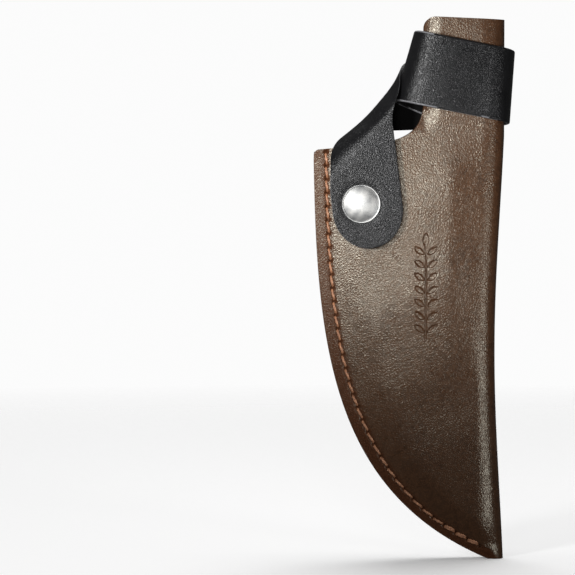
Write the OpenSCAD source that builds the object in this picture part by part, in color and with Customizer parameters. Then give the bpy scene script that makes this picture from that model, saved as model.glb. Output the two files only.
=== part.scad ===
// Leather knife sheath: one folded hide, a wrapped retaining strap with a
// snap, a welt, two rows of stitching and a riveted belt loop.
// X runs from the stitched edge (-) to the folded spine (+), -Y is the front
// and +Z runs from the tip up to the handle tongue. The origin is the middle
// of the slot between the belt loop and the back panel.

/* [Hide] */
// Thickness of the brown hide
hide_t = 2.0; // [1.6:0.1:2.4]
// Half the outer thickness of the pouch
pouch_half = 5.5; // [5:0.1:6]
// Half the outer thickness of the stitched stack
stack_half = 3.3; // [3.1:0.1:3.6]
// Height of the top edge above the origin
top_z = 86.2; // [84:0.5:90]
// Height of the tip
tip_z = -123.5; // [-130:0.5:-118]
// Left edge of the handle tongue
tongue_x = -6.2; // [-7:0.1:-5]
// Folded spine where it bows in the most
spine_x = 21.5; // [21:0.1:22]
// How far the spine would swing out far above and below that
spine_swing = 5.15; // [4.5:0.05:5.5]
// How much the front panel swells beyond the back one
front_swell = 1.3; // [0:0.1:1.5]
// Radius of the tongue's free top corner
corner_r = 4.6; // [3:0.2:5]

/* [Welt and stitching] */
// Width of the welt between the panels
welt_w = 8.0; // [7:0.5:10]
// Distance from the cut edge to the stitch line
stitch_inset = 4.9; // [4.4:0.1:5.5]
// How much nearer the stitch line comes to the edge at the tip
tip_inset_loss = 1.5; // [0:0.1:1.5]
// Distance from one stitch to the next
stitch_pitch = 5.25; // [4.5:0.25:6]
// Diameter of the thread
thread_d = 1.0; // [0.8:0.1:1.2]

/* [Strap] */
// Width of the strap where it wraps the tongue
strap_w = 28; // [26:0.5:28]
// Width of the strap's tab
tab_w = 27; // [25:0.5:28]
// How much narrower the tab is cut at its hinge line, on the stitched side
tab_waist = 1.6; // [1:0.1:2]
// Thickness of the strap
strap_t = 1.6; // [1.4:0.1:1.8]
// Bend radius round the tongue's open side
open_side_r = 6.85; // [6.8:0.05:7]
// Bend radius round the folded spine
spine_side_r = 8.35; // [8.3:0.05:8.5]
// Bend radius of the slanted turn to the front
slant_r = 9.7; // [9.6:0.05:10]
// Length of the flat tab
tab_l = 37.5; // [36:0.5:40]

/* [Snap] */
// Diameter of the snap cap
cap_d = 15.0; // [14:0.5:16]
// Height of the domed cap
cap_h = 2.2; // [1.8:0.1:2.6]
// Distance of the snap from the tab's hinge line along the tab
snap_drop = 20.1; // [19:0.1:20.5]
// Distance of the snap from the tab's middle, towards the stitched edge
snap_offset = 2.2; // [0:0.1:2.5]

/* [Belt loop] */
// Width of the loop strip
loop_w = 28; // [24:1:32]
// Thickness of the loop strip
loop_t = 2.0; // [1.8:0.1:2.4]
// Clear depth of the slot for the belt
slot_depth = 6.0; // [5:0.5:7]
// Clear height of the slot for the belt
slot_h = 44; // [40:1:46]
// Diameter of the rivet caps
rivet_d = 9.0; // [8:0.5:10]

/* [Hidden] */

brown = "#4b3627";
black = "#17181a";
thread_colour = "#b0653a";
nickel = "#c4c6c8";

// The sheath's own mid plane lies this far in front of the origin.
mid_y = -(pouch_half + slot_depth / 2);
module at_mid() translate([0, mid_y, 0]) children();

function lerp(a, b, t) = a + (b - a) * t;
function clamp01(q) = min(1, max(0, q));
function smooth(q) = let (c = clamp01(q)) c * c * (3 - 2 * c);
function bezier(p, t) =
  pow(1 - t, 3) * p[0] + 3 * pow(1 - t, 2) * t * p[1] + 3 * (1 - t) * t * t * p[2] + pow(t, 3) * p[3];

// ---- outline of the hide, in X and Z -------------------------------------

mouth_z = 52;
shoulder = [-48.6, 35];
tip_x = 19;
shoulder_r = 2.4;
// Stitched edge from the shoulder down to the tip.
stitched_edge = [[-48.6, 31], [-47.4, -38], [-43, -97.7], [tip_x, tip_z]];
// Open edge from the tongue across the mouth to the shoulder.
mouth_edge = [[tongue_x, mouth_z], [-7.5, 37], [-20, 37.4], [-46.2, 35]];

spine_low_z = -42;
spine_straight_z = 40;
spine_spread = 55;
function fold_x(z) =
  let (q = (min(z, spine_straight_z) - spine_low_z) / spine_spread)
  spine_x + spine_swing * (1 - exp(-q * q / 2));

// The left edge as [x, z] points, from the top of the tongue to the tip.
tongue_corner = [for (a = [0:15:90])
  [tongue_x + corner_r * (1 - sin(a)), top_z - corner_r * (1 - cos(a))]];
tongue_side = [for (z = [76, 68, 60]) [tongue_x, z]];
mouth_side = [for (i = [0:12]) bezier(mouth_edge, i / 12)];
shoulder_corner = [for (a = [30:30:60])
  [shoulder[0] + shoulder_r * (1 - sin(a)), shoulder[1] - shoulder_r * (1 - cos(a))]];
pouch_side = [for (i = [0:22]) bezier(stitched_edge, i / 22)];
left_edge = concat(tongue_corner, tongue_side, mouth_side, shoulder_corner, pouch_side);

// X of the stitched edge at a height, found by halving the curve's range.
function edge_t(z, a = 0, b = 1, n = 14) =
  n == 0 ? (a + b) / 2 :
  let (m = (a + b) / 2) bezier(stitched_edge, m)[1] > z ? edge_t(z, m, b, n - 1) : edge_t(z, a, m, n - 1);
function stitched_x(z) = z > stitched_edge[0][1] ? stitched_edge[0][0] : bezier(stitched_edge, edge_t(z))[0];

// ---- folded hide ----------------------------------------------------------

// Half the outer thickness of the sheath at a point of its outline.
ramp_start = 3;
ramp_w = 14;
tongue_extra = 0.4;
tongue_squeeze = 2.3;
squeeze_w = 7;
function half_at(x, z) =
  let (full = pouch_half + tongue_extra * smooth((z - 40) / 12),
       ramp = smooth((x - stitched_x(z) - ramp_start) / ramp_w),
       squeeze = tongue_squeeze * smooth((z - 40) / 12) * pow(1 - clamp01((x - tongue_x) / squeeze_w), 2))
  lerp(stack_half, full, ramp) - squeeze;

// Height of the front panel's ridge, which runs beside the spine.
ridge_x = 3;
ridge_start = -27;
ridge_end = 15.5;
function ridge(x, z) =
  front_swell * smooth((42 - z) / 24) * smooth((z + 70) / 50)
  * (x < ridge_x ? clamp01((x - ridge_start) / (ridge_x - ridge_start))
    : smooth((ridge_end - x) / (ridge_end - ridge_x)));

top_slope = 0.045;
function tilt_top(x, z) = z - top_slope * (x - tongue_x) * smooth((z - mouth_z) / 30);

flat_n = 10;
nose_n = 10;
nose_l = 6;
// One ring of the folded hide: front, round the spine and back, then inside.
function hide_ring(xl, z) =
  let (xr = fold_x(z),
       nose = min(nose_l, 0.5 * (xr - xl)),
       xn = xr - nose,
       flat = [for (i = [0:flat_n]) let (x = lerp(xl, xn, pow(i / flat_n, 1.4))) [x, half_at(x, z)]],
       hn = half_at(xn, z),
       half_side = function(sign, t) [for (p = flat)
         [p[0], sign * (p[1] - t + (sign < 0 ? ridge(p[0], z) : 0))]],
       turn = function(t) [for (i = [1:nose_n - 1]) let (a = -90 + 180 * i / nose_n)
         [xn + (nose - t) * cos(a), (hn - t) * sin(a)]],
       backwards = function(list) [for (i = [len(list) - 1:-1:0]) list[i]],
       outer = concat(half_side(-1, 0), turn(0), backwards(half_side(1, 0))),
       inner = concat(half_side(-1, hide_t), turn(hide_t), backwards(half_side(1, hide_t))))
  [for (p = concat(outer, backwards(inner))) [p[0], p[1], tilt_top(p[0], z)]];

// Skins a stack of closed rings that all have the same number of points. The
// second half of a ring runs back beside the first, so quads close both ends.
module ring_solid(rings) {
  n = len(rings[0]);
  m = len(rings);
  end = [for (k = [0:n / 2 - 2]) [k, k + 1, n - 2 - k, n - 1 - k]];
  last = (m - 1) * n;
  faces = concat(
    end,
    [for (j = [0:m - 2], k = [0:n - 1]) [j * n + k, (j + 1) * n + k, (j + 1) * n + (k + 1) % n]],
    [for (j = [0:m - 2], k = [0:n - 1]) [j * n + k, (j + 1) * n + (k + 1) % n, j * n + (k + 1) % n]],
    [for (q = end) [last + q[3], last + q[2], last + q[1], last + q[0]]]
  );
  polyhedron([for (r = rings, p = r) p], faces);
}

module folded_body() color(brown) at_mid()
  ring_solid([for (p = left_edge) hide_ring(p[0], p[1])]);

// ---- welt and stitching ---------------------------------------------------

function edge_normal(t) =
  let (d = bezier(stitched_edge, t + 0.002) - bezier(stitched_edge, t - 0.002)) [-d[1], d[0]] / norm(d);
function inset_point(t, inset) = bezier(stitched_edge, t) + inset * edge_normal(t);

welt_end = 0.93;
welt_t = 2 * (stack_half - hide_t);
welt_top = shoulder[1] - 0.8;
module welt() color(brown) at_mid() {
  steps = 30;
  outside = [for (i = [0:steps]) inset_point(welt_end * i / steps, 0)];
  inside = [for (i = [steps:-1:0]) inset_point(welt_end * i / steps, welt_w)];
  top = [[shoulder[0] + welt_w, welt_top], [shoulder[0] + 0.6, welt_top]];
  rotate([90, 0, 0]) linear_extrude(welt_t, center = true) polygon(concat(outside, inside, top));
}

// Curve parameters of the stitches, one pitch apart along the stitch line.
first_stitch = -0.014;
last_stitch = 0.99;
fine = 400;
function inset_at(t) = stitch_inset - tip_inset_loss * smooth((t - 0.55) / 0.4);
stitch_line = [for (i = [0:fine]) let (t = lerp(first_stitch, last_stitch, i / fine)) inset_point(t, inset_at(t))];
lengths = [for (i = 0, s = 0; i <= fine;
  i = i + 1, s = i <= fine ? s + norm(stitch_line[i] - stitch_line[i - 1]) : s) s];
stitch_count = floor(lengths[fine] / stitch_pitch);
stitch_points = [for (k = [0:stitch_count - 1])
  let (want = (k + 0.5) * stitch_pitch, i = [for (j = [0:fine]) if (lengths[j] >= want) j][0])
  [stitch_line[i], stitch_line[i] - stitch_line[max(0, i - 1)]]];

bow_chord = 4.5;
bow_rise = 0.55;
bow_r = bow_chord * bow_chord / (8 * bow_rise) + bow_rise / 2;
bow_angle = 2 * asin(bow_chord / 2 / bow_r);
// A short bowed stitch that lies on the hide and dips into it at both ends.
module stitch_bow() rotate([0, 0, 90 - bow_angle / 2])
  rotate_extrude(angle = bow_angle, $fn = 32) translate([bow_r, 0]) circle(d = thread_d, $fn = 16);

module stitch_row(side) for (s = stitch_points) {
  y = half_at(s[0][0], s[0][1]) + bow_rise - bow_r;
  translate([s[0][0], side * y, s[0][1]])
    rotate([0, -atan2(s[1][1], s[1][0]), 0])
      mirror([0, side < 0 ? 1 : 0, 0]) stitch_bow();
}
module edge_thread_front() color(thread_colour) at_mid() stitch_row(-1);
module edge_thread_back() color(thread_colour) at_mid() stitch_row(1);

// ---- strap ----------------------------------------------------------------
// The strap is a flat strip laid out by its length s, its width w and its
// height n above the middle of the leather. It is rolled round three bends.
// Each bend is [start along the strip, slant of its axis, radius].

strap_root = [11.5, pouch_half + tongue_extra + strap_t / 2 + 0.1, 56];
strap_rise = 23;
back_run = 19.5;
waist_l = 23;
front_run = 25.4;
rear_run = 31.4;
open_slant = 6;
spine_slant = -7;
turn_slant = -43;

function bend_length(r, slant) = PI * r / cos(slant);
open_s = back_run;
spine_s = open_s + bend_length(open_side_r, open_slant) + front_run;
slant_s = spine_s + bend_length(spine_side_r, spine_slant) + rear_run;
tab_s = slant_s + bend_length(slant_r, turn_slant);
// Half the strap's width at a length along it, on its upper (1) or lower (-1) side.
function strap_half(s, side) = lerp(strap_w, tab_w, smooth((s - spine_s) / (tab_s - spine_s))) / 2
  - (side < 0 ? tab_waist * smooth((s - slant_s) / waist_l) : 0);
bends = [[open_s, open_slant, open_side_r], [spine_s, spine_slant, spine_side_r], [slant_s, turn_slant, slant_r]];

function shift_matrix(v) = [[1, 0, 0, v[0]], [0, 1, 0, v[1]], [0, 0, 1, v[2]], [0, 0, 0, 1]];
// Turn by an angle about a unit axis that lies in the plane of the strip.
function turn_matrix(u, v, a) = let (c = cos(a), s = sin(a)) [
  [c + u * u * (1 - c), u * v * (1 - c), v * s, 0],
  [u * v * (1 - c), c + v * v * (1 - c), -u * s, 0],
  [-v * s, u * s, c, 0],
  [0, 0, 0, 1]];
// Rolls what lies beyond a bend's start through an angle round its axis.
function roll_matrix(bend, angle) =
  let (slant = bend[1], r = bend[2], along = r * angle * PI / 180)
  shift_matrix([bend[0], 0, -r]) * turn_matrix(sin(slant), cos(slant), angle)
  * shift_matrix([-bend[0] - along * cos(slant), along * sin(slant), r]);
function bend_angle(bend, s, w) =
  let (beyond = (s - bend[0]) * cos(bend[1]) - w * sin(bend[1])) 180 * clamp01(beyond / (PI * bend[2]));
function strap_point(s, w, n) =
  let (m = roll_matrix(bends[0], bend_angle(bends[0], s, w))
         * roll_matrix(bends[1], bend_angle(bends[1], s, w))
         * roll_matrix(bends[2], bend_angle(bends[2], s, w)),
       p = m * [s, w, n, 1])
  strap_root + [-p[0] * cos(strap_rise) + p[1] * sin(strap_rise), p[2],
                p[0] * sin(strap_rise) + p[1] * cos(strap_rise)];

// Stations along the strip: [s at mid width, slant of the ruling there].
bend_steps = 14;
stations = concat([[0, 0]], [for (b = bends, i = [0:bend_steps])
  [b[0] + bend_length(b[2], b[1]) * i / bend_steps, b[1]]]);
function strap_ring(station) = [for (c = [[-1, -1], [1, -1], [1, 1], [-1, 1]])
  let (w = c[0] * strap_half(station[0], c[0])) strap_point(station[0] + w * tan(station[1]), w, c[1] * strap_t / 2)];
module strap_band() color(black) at_mid() ring_solid([for (st = stations) strap_ring(st)]);

// The flat tab has its own frame: X across the strap, -Z towards its round end.
tab_root = strap_point(tab_s, 0, 0);
tab_next = strap_point(tab_s + 1, 0, 0);
tab_tilt = atan2(tab_root[0] - tab_next[0], tab_root[2] - tab_next[2]);
module on_tab() at_mid() translate(tab_root) rotate([0, tab_tilt, 0]) children();
// Layers are built upwards from the hide and then turned to face the front.
module on_snap(depth) on_tab() translate([-snap_offset, depth, -snap_drop]) rotate([90, 0, 0]) children();

hinge_gap = 0.35;
tab_end_l = 15;
snap_hole_r = 1.8;
module strap_tab() color(black) on_tab() rotate([90, 0, 0]) linear_extrude(strap_t, center = true)
  difference() {
    polygon(concat(
      [for (x = [tab_w / 2, tab_waist - tab_w / 2]) [x, -x * tan(turn_slant) - hinge_gap / cos(turn_slant)]],
      [for (a = [180:10:360]) [tab_w / 2 * cos(a), tab_end_l - tab_l + tab_end_l * sin(a)]]
    ));
    translate([-snap_offset, -snap_drop]) circle(r = snap_hole_r, $fn = 32);
  }

// ---- snap -----------------------------------------------------------------

knob_r = 3.4;
neck_r = 2.9;
flange_t = 0.6;
// Depths are heights above the front panel, measured from the strap's middle.
panel_depth = -tab_root[1] - pouch_half;
under_strap = strap_t / 2;

// A low dome of a given diameter and height that stands on the plane Z = 0.
dome_steps = 6;
module dome(d, h) {
  r = (d * d / 4 + h * h) / (2 * h);
  full = asin(d / 2 / r);
  rotate_extrude($fn = 64) polygon(concat([[0, 0]],
    [for (i = [dome_steps:-1:0]) let (a = full * i / dome_steps) [r * sin(a), h - r * (1 - cos(a))]]));
}

module snap_cap() color(nickel) on_snap(0) {
  translate([0, 0, under_strap]) dome(cap_d, cap_h);
  translate([0, 0, -under_strap - 0.3]) cylinder(r = snap_hole_r, h = strap_t + 0.4, $fn = 32);
}

socket_r = 6;
socket_bore_r = 4.6;
socket_h = 2.5;
module snap_socket() color(nickel) on_snap(0) translate([0, 0, -under_strap - socket_h]) difference() {
  cylinder(r = socket_r, h = socket_h, $fn = 48);
  translate([0, 0, -1]) cylinder(r = socket_bore_r, h = 1 + socket_h - 0.3, $fn = 48);
  cylinder(r = snap_hole_r, h = socket_h + 1, $fn = 32);
}

spring_wire_r = 0.3;
module snap_spring() color(nickel) on_snap(0) translate([0, 0, -under_strap - socket_h + 0.8])
  rotate_extrude($fn = 48) translate([socket_bore_r - spring_wire_r, 0]) circle(spring_wire_r, $fn = 16);

module snap_stud() color(nickel) on_snap(0) translate([0, 0, -panel_depth]) {
  cylinder(r = 5.2, h = flange_t, $fn = 48);
  rotate_extrude($fn = 48) polygon([[0, 0], [neck_r + 0.5, 0], [neck_r, 0.8], [neck_r, 1.3],
    [knob_r, 1.8], [knob_r, 2.3], [knob_r - 0.5, 2.8], [0, 2.8]]);
}

module snap_post() color(nickel) on_snap(0) translate([0, 0, -panel_depth - hide_t - flange_t]) {
  cylinder(r = 5.5, h = flange_t, $fn = 48);
  cylinder(r = 1.6, h = flange_t + hide_t + 0.3, $fn = 32);
}

// ---- rivets ---------------------------------------------------------------

post_r = 1.5;
cap_rise = 1.0;
// A low domed cap that stands on the plane Y = 0 and faces +Y.
module rivet_cap() color(nickel) rotate([-90, 0, 0]) dome(rivet_d, cap_rise);
// A post of a given length with a flat head at its inner end.
module rivet_post(length) color(nickel) rotate([90, 0, 0]) {
  cylinder(r = post_r, h = length, $fn = 24);
  translate([0, 0, length]) cylinder(r = rivet_d / 2 - 0.5, h = flange_t, $fn = 48);
}

tongue_half = pouch_half + tongue_extra;
strap_rivet_s = [6, 6];
strap_rivet_w = [-7, 7];
function strap_rivet_at(i) = strap_point(strap_rivet_s[i - 1], strap_rivet_w[i - 1], strap_t / 2);
module strap_rivet_cap(i) at_mid() translate(strap_rivet_at(i)) rivet_cap();
module strap_rivet_post(i) at_mid() translate(strap_rivet_at(i))
  rivet_post(strap_rivet_at(i)[1] - tongue_half + hide_t);

// ---- belt loop ------------------------------------------------------------

loop_rise_l = 9;
foot_l = 13;
loop_half = slot_h / 2 + loop_rise_l + foot_l - 4;
function loop_lift(z) = slot_depth * smooth((slot_h / 2 + loop_rise_l - 4 - abs(z)) / loop_rise_l);
function loop_normal(z) = let (d = [0.2, loop_lift(z + 0.1) - loop_lift(z - 0.1)]) [-d[1], d[0]] / norm(d);
loop_stations = concat([-loop_half], [for (z = [-28:1:-17]) z], [for (z = [17:1:28]) z], [loop_half]);
module belt_loop() color(black) at_mid() {
  under = [for (z = loop_stations) [z, pouch_half + loop_lift(z)]];
  over = [for (i = [len(loop_stations) - 1:-1:0]) let (z = loop_stations[i])
    [z, pouch_half + loop_lift(z)] + loop_t * loop_normal(z)];
  rotate([90, 0, 90]) linear_extrude(loop_w, center = true)
    polygon([for (p = concat(under, over)) [p[1], p[0]]]);
}

loop_rivet_x = 7.5;
loop_rivet_z = loop_half - 6;
function loop_rivet_at(i) =
  [(i % 2 == 0 ? 1 : -1) * loop_rivet_x, pouch_half + loop_t, (i > 2 ? 1 : -1) * loop_rivet_z];
module loop_rivet_cap(i) at_mid() translate(loop_rivet_at(i)) rivet_cap();
module loop_rivet_post(i) at_mid() translate(loop_rivet_at(i)) rivet_post(loop_t + hide_t);

folded_body();
welt();
edge_thread_front();
edge_thread_back();
strap_band();
strap_tab();
snap_cap();
snap_socket();
snap_spring();
snap_stud();
snap_post();
strap_rivet_cap(1);  // strap_rivet_cap_1
strap_rivet_cap(2);  // strap_rivet_cap_2
strap_rivet_post(1);  // strap_rivet_post_1
strap_rivet_post(2);  // strap_rivet_post_2
belt_loop();
loop_rivet_cap(1);  // loop_rivet_cap_1
loop_rivet_cap(2);  // loop_rivet_cap_2
loop_rivet_cap(3);  // loop_rivet_cap_3
loop_rivet_cap(4);  // loop_rivet_cap_4
loop_rivet_post(1);  // loop_rivet_post_1
loop_rivet_post(2);  // loop_rivet_post_2
loop_rivet_post(3);  // loop_rivet_post_3
loop_rivet_post(4);  // loop_rivet_post_4
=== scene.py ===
# %% [markdown]
# # A leather knife sheath with a wrapped strap
# The sheath is one hide, folded along the spine and stitched along its curved
# edge. A black strap wraps its handle tongue and closes with a snap. The packed
# design gives the places; this lesson makes each piece as its maker would, from
# flat leather that is cut, thinned at the edges, tooled and then folded.

import bpy
import numpy as np
from mathutils import Matrix, Vector


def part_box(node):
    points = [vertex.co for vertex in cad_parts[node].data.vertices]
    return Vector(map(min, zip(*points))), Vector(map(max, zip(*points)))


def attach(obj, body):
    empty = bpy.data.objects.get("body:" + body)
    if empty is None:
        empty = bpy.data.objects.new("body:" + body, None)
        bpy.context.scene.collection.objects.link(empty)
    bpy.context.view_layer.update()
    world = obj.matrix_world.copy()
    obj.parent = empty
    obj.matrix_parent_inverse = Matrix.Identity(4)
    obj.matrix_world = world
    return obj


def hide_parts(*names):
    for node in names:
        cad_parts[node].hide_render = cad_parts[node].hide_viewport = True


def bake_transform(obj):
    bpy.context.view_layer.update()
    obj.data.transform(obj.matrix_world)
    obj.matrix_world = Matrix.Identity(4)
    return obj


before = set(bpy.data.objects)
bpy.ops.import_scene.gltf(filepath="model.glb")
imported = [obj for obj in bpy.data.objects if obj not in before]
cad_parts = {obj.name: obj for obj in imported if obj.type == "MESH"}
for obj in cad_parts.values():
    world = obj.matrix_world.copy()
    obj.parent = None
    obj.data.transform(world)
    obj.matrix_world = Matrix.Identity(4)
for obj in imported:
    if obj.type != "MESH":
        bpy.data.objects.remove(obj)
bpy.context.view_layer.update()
print("frame holds", len(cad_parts), "nodes")

# %% [markdown]
# ## Camera
# The view is close to straight on, from eye height near the mouth, with a long
# lens from a good metre away, so upright lines stay upright. The sheath stands at
# the right of the view. The camera is made first, because it settles how fine the
# surface detail has to be.

# %% Camera
MM = 0.001
camera_data = bpy.data.cameras.new("camera")
camera_data.lens = 205.4
camera = bpy.data.objects.new("camera", camera_data)
bpy.context.scene.collection.objects.link(camera)
camera.location = Vector((-58.7, -1277.0, 38.5)) * MM
aim = Vector((-58.7, -14.0, -18.2)) * MM
camera.rotation_euler = (aim - camera.location).to_track_quat("-Z", "Y").to_euler()
bpy.context.scene.camera = camera
print("camera stands", round((aim - camera.location).length, 3), "m away")

# %% [markdown]
# ## Small helpers
# Everything is shaped in millimetres, in the sheath's own frame, whose Y = 0 is
# the middle of the folded hide. `to_row` moves such points to the frame, in metres.
# Selecting by place or normal is done with arrays, as a long selection by hand.

# %% Helpers for points and selections
hide_low, hide_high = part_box("folded_body")
MID_Y = (hide_low.y + hide_high.y) / 2


def smooth(q):
    c = np.clip(q, 0, 1)
    return c * c * (3 - 2 * c)


def bezier(p, t):
    t = np.asarray(t, float)[..., None]
    p = np.asarray(p, float)
    return (1 - t) ** 3 * p[0] + 3 * (1 - t) ** 2 * t * p[1] + 3 * (1 - t) * t * t * p[2] + t**3 * p[3]


def get_points(obj):
    flat = np.empty(len(obj.data.vertices) * 3)
    obj.data.vertices.foreach_get("co", flat)
    return flat.reshape(-1, 3)


def set_points(obj, points):
    obj.data.vertices.foreach_set("co", np.asarray(points, float).ravel())
    obj.data.update()


def face_data(obj, what):
    size = 1 if what in ("area", "material_index") else 3
    flat = np.empty(len(obj.data.polygons) * size, int if what == "material_index" else float)
    obj.data.polygons.foreach_get(what, flat)
    return flat if size == 1 else flat.reshape(-1, 3)


def to_row(obj):
    points = get_points(obj) * MM
    points[:, 1] += MID_Y
    set_points(obj, points)


def pick(obj):
    bpy.ops.object.select_all(action="DESELECT")
    obj.select_set(True)
    bpy.context.view_layer.objects.active = obj


def edit_faces(obj, chosen):
    """Enters edit mode with only the chosen faces selected."""
    pick(obj)
    bpy.context.tool_settings.mesh_select_mode = (False, False, True)
    bpy.ops.object.mode_set(mode="EDIT")
    bpy.ops.mesh.select_all(action="DESELECT")
    bpy.ops.object.mode_set(mode="OBJECT")
    obj.data.polygons.foreach_set("select", np.asarray(chosen, bool))
    bpy.ops.object.mode_set(mode="EDIT")


def leave_edit():
    bpy.ops.object.mode_set(mode="OBJECT")


def modify(obj, kind, **settings):
    """Adds one modifier and applies it."""
    pick(obj)
    modifier = obj.modifiers.new(kind.lower(), kind)
    for name, value in settings.items():
        setattr(modifier, name, value)
    bpy.ops.object.modifier_apply(modifier=modifier.name)


def flat_grid(name, across, along):
    """A flat piece of leather on the bench, 2 by 2 units, ready to be cut to shape."""
    bpy.ops.object.select_all(action="DESELECT")
    bpy.ops.mesh.primitive_grid_add(x_subdivisions=across, y_subdivisions=along, size=2)
    obj = bpy.context.object
    obj.name = obj.data.name = name
    return obj


def finish_piece(obj, body, replaced=()):
    pick(obj)
    bpy.ops.object.shade_smooth_by_angle(angle=np.radians(40))
    if body:
        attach(obj, body)
    if replaced:
        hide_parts(*replaced)
    print(obj.name, "has", len(obj.data.polygons), "faces")


# %% [markdown]
# ## Finishes
# One function turns an sRGB hex value to the linear colour that the shader takes,
# and one adds a node with its settings and links. Patterns read Object coordinates,
# which are metres here, so a pattern of size d has the scale 1 / d.

# %% Helpers for finishes
def linear(hex_value):
    parts = [int(hex_value[i : i + 2], 16) / 255 for i in (1, 3, 5)]
    return tuple(c / 12.92 if c <= 0.04045 else ((c + 0.055) / 1.055) ** 2.4 for c in parts) + (1,)


def add(tree, kind, inputs=None, **settings):
    node = tree.nodes.new(kind)
    for name, value in settings.items():
        setattr(node, name, value)
    for socket, value in (inputs or {}).items():
        if isinstance(value, bpy.types.NodeSocket):
            tree.links.new(value, node.inputs[socket])
        else:
            node.inputs[socket].default_value = value
    return node


def new_finish(name):
    material = bpy.data.materials.new(name)
    material.use_nodes = True
    tree = material.node_tree
    shader = tree.nodes["Principled BSDF"]
    place = add(tree, "ShaderNodeTexCoord").outputs["Object"]
    return material, tree, shader, place


# %% [markdown]
# ### Brown hide
# Drum-dyed, lightly corrected cow hide, semi-matt. The dyeing is uneven over patches of
# a few centimetres. The colour is also made darker in the valleys between the pebbles
# of the grain; that is painted shade. A real pebble is about 0.5 mm; it is drawn at
# 0.9 mm so that it shows. The stitched edge is warmer and duller than the rest, from
# handling; the `edge` attribute says how near that edge a point is.

# %% Grain of the leather
def pebbled_grain(tree, place, size):
    """Height of a leather grain: rounded pebbles with fine creases between them."""
    wobble = add(tree, "ShaderNodeTexNoise", {"Vector": place, "Scale": 1 / (2.2 * size), "Detail": 2.0})
    shift = add(tree, "ShaderNodeVectorMath", {0: wobble.outputs["Color"], "Scale": 1.2 * size},
                operation="SCALE")
    warped = add(tree, "ShaderNodeVectorMath", {0: place, 1: shift.outputs[0]}, operation="ADD")
    cells = add(tree, "ShaderNodeTexVoronoi", {"Vector": warped.outputs[0], "Scale": 1 / size},
                feature="DISTANCE_TO_EDGE")
    rounded = add(tree, "ShaderNodeMapRange", {"Value": cells.outputs["Distance"], "From Max": 0.32})
    return rounded.outputs["Result"]


# %% Brown hide: dyeing, with painted shade in the grain's valleys
hide_finish, tree, shader, place = new_finish("brown_drum_dyed_cow_hide")
pebbles = pebbled_grain(tree, place, 0.9 * MM)
edge = add(tree, "ShaderNodeAttribute", attribute_name="edge").outputs["Fac"]
clouds = add(tree, "ShaderNodeTexNoise",
             {"Vector": place, "Scale": 1 / (16 * MM), "Detail": 3.0, "Roughness": 0.55})
patches = add(tree, "ShaderNodeMapRange",
              {"Value": clouds.outputs["Fac"], "From Min": 0.35, "From Max": 0.65})
base = add(tree, "ShaderNodeMix",
           {0: patches.outputs["Result"], 6: linear("#341f12"), 7: linear("#402919")}, data_type="RGBA")
fine_clouds = add(tree, "ShaderNodeTexNoise",
                  {"Vector": place, "Scale": 1 / (1.6 * MM), "Detail": 4.0, "Roughness": 0.55})
specks = add(tree, "ShaderNodeMapRange",
             {"Value": fine_clouds.outputs["Fac"], "From Min": 0.35, "From Max": 0.65})
speckled = add(tree, "ShaderNodeMix",
               {0: specks.outputs["Result"], 6: base.outputs[2], 7: linear("#462d1c")}, data_type="RGBA")
warmth = add(tree, "ShaderNodeMapRange", {"Value": edge, "To Max": 0.75})
warmed = add(tree, "ShaderNodeMix",
             {0: warmth.outputs["Result"], 6: speckled.outputs[2], 7: linear("#4a2b1b")}, data_type="RGBA")
# Painted shade: the colour is made darker in the valleys between the pebbles of the grain.
valley_shade = add(tree, "ShaderNodeMapRange", {"Value": pebbles, "From Max": 0.5, "To Min": 0.62})
grey = valley_shade.outputs["Result"]
shade = add(tree, "ShaderNodeCombineColor", {0: grey, 1: grey, 2: grey})
dye_and_valley_shade = add(tree, "ShaderNodeMix", {0: 1.0, 6: warmed.outputs[2], 7: shade.outputs[0]},
          data_type="RGBA", blend_type="MULTIPLY")
tree.links.new(dye_and_valley_shade.outputs[2], shader.inputs["Base Color"])
print("the hide's dye has", len(tree.nodes), "nodes")

# %% Brown hide: the surface
wax = add(tree, "ShaderNodeTexNoise",
          {"Vector": place, "Scale": 1 / (5 * MM), "Detail": 3.0, "Roughness": 0.55})
dullness = add(tree, "ShaderNodeMapRange",
               {"Value": wax.outputs["Fac"], "From Min": 0.3, "From Max": 0.7,
                "To Min": 0.26, "To Max": 0.32})
tree.links.new(dullness.outputs["Result"], shader.inputs["Roughness"])
pores = add(tree, "ShaderNodeTexNoise",
            {"Vector": place, "Scale": 1 / (0.35 * MM), "Detail": 2.0, "Roughness": 0.55})
bump_pores = add(tree, "ShaderNodeBump",
                 {"Height": pores.outputs["Fac"], "Strength": 0.15, "Distance": 0.05 * MM})
bump = add(tree, "ShaderNodeBump",
           {"Height": pebbles, "Strength": 0.52, "Distance": 0.08 * MM, "Normal": bump_pores.outputs[0]})
tree.links.new(bump.outputs[0], shader.inputs["Normal"])
sheen = add(tree, "ShaderNodeMapRange", {"Value": edge, "To Min": 0.5, "To Max": 0.16})
tree.links.new(sheen.outputs["Result"], shader.inputs["Specular IOR Level"])
shader.inputs["Specular Tint"].default_value = linear("#f7f2e0")
print("the hide's whole finish has", len(tree.nodes), "nodes")

# %% [markdown]
# ### Cut edges
# A cut edge shows the fibres inside the hide. On the brown sheath it is dyed and
# rubbed with wax until it is dark and nearly smooth. On the black strap it is dyed
# but left raw, so it is greyer than the faces and shows as a light line.

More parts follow.
